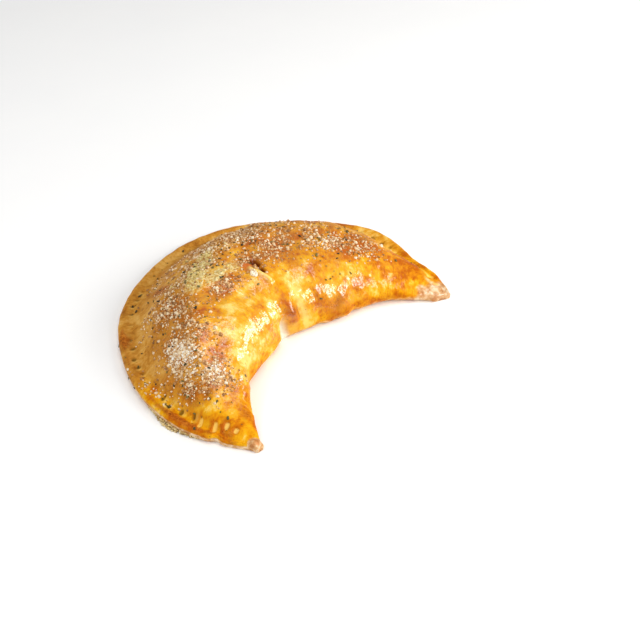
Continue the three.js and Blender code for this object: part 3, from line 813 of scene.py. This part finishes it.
def dried_herbs(skin, random):
    """Flat flakes of dried herb, lying on the crust at a slight tilt, and some in the pricks."""
    count = FLAKES.count
    chance = ovals(skin.points, HERB_SPOTS) + FLAKES.in_pricks * skin.pricks
    places, normals = places_on(skin, chance, count, random)
    tilted = unit(normals + random.normal(scale=FLAKES.tilt, size=(count, 3)))
    length = mix(*FLAKES.length, random.random((count, 1)) ** 1.3)
    wide = length * random.uniform(*FLAKES.width, (count, 1))
    thick = random.uniform(*FLAKES.thickness, (count, 1))
    sizes = np.concatenate([length, wide, thick], axis=1)
    turns = upright_turns(tilted, random)
    tone = random.random(count)
    lifted = places + normals * FLAKES.lift
    return grains("herb_flakes", lifted, turns, sizes, FLAKES.roughness, 1, random, tone)


def cheese_fringe(random):
    """Lacy cheese that baked on under the rim: small crumbs along its foot."""
    count = FRINGE.count
    angle = random.uniform(FRINGE.start, FRINGE.end, count)
    middle = bell(angle, (FRINGE.start + FRINGE.end) / 2, FRINGE.spread)
    out = mix(*FRINGE.out, random.random(count) * middle)
    plan = foot(angle, RIM_CENTRE, RIM_RADIUS + out, RIM_WANDER)
    size = mix(*FRINGE.size, random.random((count, 1)) ** 1.5)
    climb = random.uniform(0, FRINGE.climb, (count, 1)) * (out < FRINGE.under)[:, None]
    places = np.concatenate([plan, size * 0.7 + climb], axis=1)
    sizes = size * random.uniform(*STRETCH, (count, 3))
    turns = random_turns(random, count)
    tone = random.random(count)
    return grains("cheese_fringe", places, turns, sizes, GRAIN_ROUGHNESS, 2, random, tone)


def vent_cheese(skin, random):
    """A soft granular blob of cheese beside the vent: many small overlapping balls."""
    lengthwise, sideways = beside(skin.points, BLOB)
    near = (lengthwise / BLOB.length) ** 2 + (sideways / BLOB.width) ** 2
    above = skin.height > BLOB.above
    thick = np.where(above, clamp(1 - 4 * near), 0)
    count = BLOB.count
    places, normals = places_on(skin, thick, count, random)
    sizes = random.uniform(*BLOB.size, (count, 1)) * BLOB.stretch
    heaped = places + normals * random.uniform(*BLOB.heap, (count, 1))
    turns = upright_turns(normals, random)
    tone = random.uniform(0.6, 1, count)
    return grains("vent_cheese", heaped, turns, sizes, BLOB.roughness, 2, random, tone)


# ---- finishes ----


class Value:
    """A number that varies over a surface. Sums and products of it add Math nodes."""

    def __init__(self, finish, socket):
        self.finish = finish
        self.socket = socket

    def math(self, operation, first, second):
        return self.finish.node("ShaderNodeMath", {"operation": operation}, {0: first, 1: second})

    def __add__(self, other):
        return self.math("ADD", self, other)

    def __sub__(self, other):
        return self.math("SUBTRACT", self, other)

    def __rsub__(self, other):
        return self.math("SUBTRACT", other, self)

    def __mul__(self, other):
        return self.math("MULTIPLY", self, other)

    __radd__ = __add__
    __rmul__ = __mul__


class Finish:
    """A material made of nodes that read Object coordinates and the piece's own attributes."""

    def __init__(self, name):
        self.material = bpy.data.materials.new(name)
        self.material.use_nodes = True
        self.tree = self.material.node_tree
        self.place = self.node("ShaderNodeTexCoord", {}, {}, "Object")

    def plug(self, socket, value):
        """Links a value to a socket, or sets it to a number or colour."""
        if isinstance(value, Value):
            self.tree.links.new(value.socket, socket)
        else:
            socket.default_value = value

    def feed(self, **sockets):
        """Gives the shader's sockets what they need, and returns the material."""
        for name, value in sockets.items():
            self.plug(self.tree.nodes["Principled BSDF"].inputs[name.replace("_", " ")], value)
        return self.material

    def node(self, kind, settings, values, output=0):
        """Adds a node: its settings first, then the numbers, colours or links of its sockets."""
        made = self.tree.nodes.new(kind)
        for setting, value in settings.items():
            setattr(made, setting, value)
        for socket, value in values.items():
            self.plug(made.inputs[socket], value)
        return Value(self, made.outputs[output])

    def layer(self, name):
        """The value of one of the mesh's attributes."""
        return self.node("ShaderNodeAttribute", {"attribute_name": name}, {}, "Fac")

    def lumps(self, size, detail=2, shift=0):
        """Noise between 0 and 1 whose lumps measure about this many millimetres."""
        moved = self.node(
            "ShaderNodeVectorMath", {"operation": "ADD"}, {0: self.place, 1: (shift, shift, shift)}
        )
        values = {"Vector": moved, "Scale": 1 / (size * MM), "Detail": detail}
        return self.node("ShaderNodeTexNoise", {}, values, "Fac")

    def streaks(self, across_them, along_them):
        """Noise between 0 and 1 over two lengths of the piece's own."""
        place = self.node("ShaderNodeCombineXYZ", {}, {0: across_them, 1: along_them})
        values = {"Vector": place, "Scale": 1, "Detail": 3}
        return self.node("ShaderNodeTexNoise", {}, values, "Fac")

    def spread(self, value, contrast):
        """A value drawn away from a half, kept between 0 and 1."""
        settings = {"operation": "MULTIPLY_ADD", "use_clamp": True}
        return self.node("ShaderNodeMath", settings, {0: value, 1: contrast, 2: 0.5 - contrast / 2})

    def step(self, value, low, high):
        """A smooth climb from 0 at low to 1 at high."""
        settings = {"interpolation_type": "SMOOTHSTEP"}
        return self.node("ShaderNodeMapRange", settings, {0: value, 1: low, 2: high})

    def blend(self, share, first, second):
        """Two colours mixed by a share."""
        values = {0: share, 6: first, 7: second}
        return self.node("ShaderNodeMix", {"data_type": "RGBA"}, values, 2)

    def ramp(self, value, stops):
        """A colour for each value, from stops of position and colour."""
        made = self.node("ShaderNodeValToRGB", {}, {0: value})
        elements = made.socket.node.color_ramp.elements
        for element, (position, tint) in zip(elements, (stops[0], stops[-1])):
            element.position = position
            element.color = tint
        for position, tint in stops[1:-1]:
            elements.new(position).color = tint
        return made

    def bump(self, height, strength, distance, under=None):
        """A normal bent by a height."""
        values = {"Strength": strength, "Distance": distance * MM, "Height": height}
        if under is not None:
            values["Normal"] = under
        return self.node("ShaderNodeBump", {}, values)


def colour(red, green, blue):
    """A colour from its 0 to 255 screen values, as the linear numbers that shaders use."""
    screen = np.array([red, green, blue]) / 255
    linear = np.where(screen <= 0.04045, screen / 12.92, ((screen + 0.055) / 1.055) ** 2.4)
    return (*linear.tolist(), 1)


def band(*stops):
    """A colour ramp's stops, from rows of a position and a screen colour."""
    return [(position, colour(*tint)) for position, *tint in stops]


TAN = band((0.15, 158, 96, 26), (0.5, 200, 138, 50), (0.85, 222, 172, 88))
GOLDEN = band((0.05, 184, 90, 0), (0.35, 214, 134, 2), (0.65, 232, 168, 16), (0.95, 244, 210, 112))
TOAST_AND_SHADE = band((0.15, 88, 40, 10), (0.4, 156, 78, 16), (0.85, 208, 126, 38))
RAW_DOUGH = band((0.2, 184, 122, 70), (0.5, 212, 162, 108), (0.8, 238, 210, 172))
MELTED = band((0.2, 184, 144, 62), (0.5, 218, 190, 114), (0.8, 240, 226, 172))
PARMESAN = band(
    (0.05, 134, 88, 42), (0.25, 182, 128, 70), (0.5, 214, 170, 112), (0.75, 240, 220, 184),
    (0.97, 248, 246, 238),
)
SOFT_CHEESE = band((0.1, 200, 172, 98), (0.5, 224, 200, 124), (0.9, 238, 226, 180))
LACE = band((0.1, 168, 126, 60), (0.5, 220, 190, 122), (0.9, 244, 228, 184))
HERBS = band((0.1, 48, 38, 18), (0.45, 82, 72, 34), (0.7, 110, 98, 44), (0.95, 132, 124, 66))
# the cheese strand's colour, also used for painted highlights on dents, pricks and the flap's ridge
BRIGHT_AND_HIGHLIGHT = colour(255, 216, 112)
CREAM = colour(236, 226, 204)
SEARED = colour(216, 106, 12)
FLECK = colour(92, 40, 10)
DUST = colour(240, 220, 176)
# torn dough in the vent's slits, darkened with painted shade inside them
TORN_DOUGH_AND_SHADE = colour(120, 42, 4)
# painted shade inside the fork pricks
PRICK_SHADE = colour(112, 84, 26)
BASE_BROWN = colour(176, 116, 56)

MASKS = (
    "gold", "glazed", "sunny", "toasted", "pale", "cream", "seared", "bright", "melted",
    "dusted", "torn", "pricked", "underside",
)


def baked_dough(finish, at, lumps):
    """The dough's colour: tan or golden, browned in spots, raw at the rim and the tips, with
    melted cheese and plain patches over it, and painted highlights and painted shade mixed in."""
    middling, small, fine = lumps.middling, lumps.small, lumps.fine
    even = lumps.broad * 0.4 + middling * 0.25 + small * 0.15 + lumps.streaks * 0.2
    lively = lumps.broad * 0.45 + middling * 0.25 + small * 0.12 + lumps.streaks * 0.18
    tan = finish.ramp(finish.spread(even, 3), TAN)
    # painted highlights lighten the golden dough, and the browning, painted shade included, darkens
    # it
    lightness = finish.spread(lively, 3.6) + at.sunny * 0.45 - at.toasted * 0.4
    dough = finish.blend(at.gold, tan, finish.ramp(lightness, GOLDEN))

    toast_and_shade = finish.ramp(finish.spread(small * 0.6 + fine * 0.4, 2.2), TOAST_AND_SHADE)
    spotty = finish.spread(middling * 0.5 + small * 0.5, 2.6)
    dough = finish.blend(finish.step(at.toasted + spotty * 0.8, 0.62, 1.3) * 0.85, dough, toast_and_shade)

    raw = finish.ramp(finish.spread(middling * 0.8 + small * 0.2, 2.4), RAW_DOUGH)
    dough = finish.blend(finish.step(at.pale + middling * 0.4, 0.45, 1), dough, raw)
    melted = finish.ramp(finish.spread(small * 0.5 + fine * 0.5, 2.6), MELTED)
    melting = finish.step(at.melted + finish.spread(small, 1.5) * 0.6, 0.45, 1)
    dough = finish.blend(melting * 0.85, dough, melted)
    dough = finish.blend(at.seared * 0.85, dough, SEARED)
    # painted highlights on dents, pricks and the flap's ridge, with the cheese strand and paler
    # dough
    dough = finish.blend(at.bright * 0.85, dough, BRIGHT_AND_HIGHLIGHT)
    return finish.blend(at.cream, dough, CREAM)


def crust_finish():
    """Baked dough: tan and matt on the outer flank, golden and glossy towards the fold, dusted
    with fine cheese and charred specks, with painted shade in the pricks and the vent's slits,
    brown underneath."""
    finish = Finish("baked_crust")
    at = Record(**{name: finish.layer(name) for name in MASKS})
    lengthwise, sideways = finish.layer("lengthwise"), finish.layer("sideways")
    lumps = Record(
        broad=finish.lumps(14), middling=finish.lumps(4.5, 3, 0.3),
        small=finish.lumps(2, 3, 0.5), fine=finish.lumps(0.9, 2, 0.7),
        crumbs=finish.lumps(0.8, 1, 1.3),
        streaks=finish.streaks(lengthwise * (1 / 1.3), sideways * (1 / 4.5)),
    )
    dough = baked_dough(finish, at, lumps)
    dust = finish.step(lumps.crumbs + at.dusted * 0.15, 0.66, 0.74)
    dust = dust * finish.step(at.dusted, 0.1, 0.5)
    dough = finish.blend(dust * 0.6, dough, DUST)
    charred = finish.lumps(1.3, 2, 2.1) + at.dusted * 0.14 + at.toasted * 0.04
    dough = finish.blend(finish.step(charred, 0.67, 0.76) * 0.7, dough, FLECK)
    # painted shade in the pricks
    dough = finish.blend(finish.step(at.pricked, 0.15, 0.7) * 0.8, dough, PRICK_SHADE)
    # torn dough and painted shade in the vent's slits
    dough = finish.blend(at.torn, dough, TORN_DOUGH_AND_SHADE)
    dough = finish.blend(at.underside, dough, BASE_BROWN)

    sparkle = finish.step(finish.lumps(1.1, 1, 2.9), 0.42, 0.56)
    gloss = at.glazed * (1 - at.dusted * 0.8) * (1 - at.torn) * (sparkle * 0.8 + 0.2)
    skin = finish.bump(lumps.fine, 1, 0.04)
    skin = finish.bump(lumps.small, 1, 0.2, skin)
    skin = finish.bump(lumps.streaks, 1, 0.16, skin)
    skin = finish.bump(lumps.crumbs * at.dusted, 0.8, 0.7, skin)
    return finish.feed(
        Base_Color=dough, Roughness=0.5 - gloss * 0.15 + dust * 0.2, Normal=skin,
        Specular_IOR_Level=0.06, Coat_Weight=gloss, Coat_Roughness=0.13, Coat_IOR=1.9,
    )


def grain_finish(name, roughness, stops):
    """Small pieces that each take a colour of their own from the stops, a little uneven."""
    finish = Finish(name)
    uneven = finish.layer("tone") * 0.85 + finish.lumps(0.8) * 0.15
    skin = finish.bump(finish.lumps(0.35), 0.4, 0.1)
    return finish.feed(Base_Color=finish.ramp(uneven, stops), Roughness=roughness, Normal=skin)


def floor_finish():
    """A plain pale table top."""
    finish = Finish("pale_floor")
    shade = finish.blend(finish.lumps(60), colour(252, 252, 252), colour(255, 255, 254))
    return finish.feed(Base_Color=shade, Roughness=0.6)


# ---- stage ----

CAMERA_PLACE = np.array([-460.6, -463.5, 576.4])
CAMERA_AIM = np.array([21.8, -38.2, 0])
CAMERA_ROLL = math.radians(-0.17)
LENS = 65.73  # over a sensor 36 wide
FLOOR_SIZE, FLOOR_DROP = 6, 0.0002  # in metres; it lies a hair below the crust
# Soft lights: direction from the middle, distance, width and height, power, tint
LIGHTS = {
    "key": ((0.66, -0.61, 0.44), 1.2, (0.56, 0.4), 6.4, (1, 0.98, 0.95)),
    "side": ((0.2, -0.85, 0.49), 1.2, (0.38, 0.54), 5.8, (1, 0.99, 0.98)),
    "top": ((0.1, -0.1, 0.99), 1.3, (0.8, 0.8), 4.8, (1, 0.99, 0.97)),
    "fill": ((-0.75, 0.1, 0.65), 1.6, (1.2, 1.2), 9.6, (0.97, 0.98, 1)),
}
SURROUND_STRENGTH = 0.36


def add_camera():
    """The camera, aimed at a point of the floor in front of the crescent's middle."""
    data = bpy.data.cameras.new("camera")
    data.lens = LENS
    data.clip_start = 10 * MM
    camera = add_object("camera", data)
    place = Vector((CAMERA_PLACE - MIDDLE) * MM)
    aim = Vector((CAMERA_AIM - MIDDLE) * MM)
    look = (aim - place).to_track_quat("-Z", "Y").to_matrix()
    roll = Euler((0, 0, CAMERA_ROLL)).to_matrix()
    camera.matrix_world = (look @ roll).to_4x4()
    camera.location = place
    bpy.context.scene.camera = camera


def add_light(name, direction, distance, size, power, tint):
    """A soft light of a width and a height that faces the middle from a direction."""
    data = bpy.data.lights.new(name, "AREA")
    data.shape = "RECTANGLE"
    data.size, data.size_y = size
    data.energy = power
    data.color = tint
    light = add_object(name, data)
    towards = Vector(direction).normalized()
    light.location = towards * distance
    light.rotation_euler = towards.to_track_quat("Z", "Y").to_euler()


def add_stage():
    """A plain pale floor, soft studio lights and an even pale surround."""
    half, low = FLOOR_SIZE / 2, -FLOOR_DROP
    corners = [(-half, -half, low), (half, -half, low), (half, half, low), (-half, half, low)]
    mesh = bpy.data.meshes.new("floor")
    mesh.from_pydata(corners, [], [(0, 1, 2, 3)])
    floor = add_object("floor", mesh)
    floor.data.materials.append(floor_finish())
    for name, light in LIGHTS.items():
        add_light(name, *light)
    world = bpy.data.worlds.new("surround")
    world.use_nodes = True
    background = world.node_tree.nodes["Background"]
    background.inputs["Color"].default_value = (1, 1, 1, 1)
    background.inputs["Strength"].default_value = SURROUND_STRENGTH
    bpy.context.scene.world = world
    bpy.context.scene.view_settings.view_transform = "Standard"


# ---- all together ----


def dress(piece, material):
    """Gives a piece its finish and lets it ride on the calzone's body."""
    piece.data.materials.append(material)
    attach(piece, "root")


def main():
    add_camera()
    add_stage()
    random = np.random.default_rng(20)
    skin = relieved_crust()

    whole = crust(skin)
    dress(whole, crust_finish())
    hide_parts("calzone")

    hard = grain_finish("grated_cheese", 0.6, PARMESAN)
    soft = grain_finish("soft_cheese", 0.45, SOFT_CHEESE)
    granules, crumbs, softened = grated_cheese(skin, random)
    dress(granules, hard)
    dress(crumbs, hard)
    dress(softened, soft)
    dress(vent_cheese(skin, random), hard)
    dress(cheese_fringe(random), grain_finish("baked_lace", 0.5, LACE))
    dress(dried_herbs(skin, random), grain_finish("dried_herbs", 0.75, HERBS))


main()
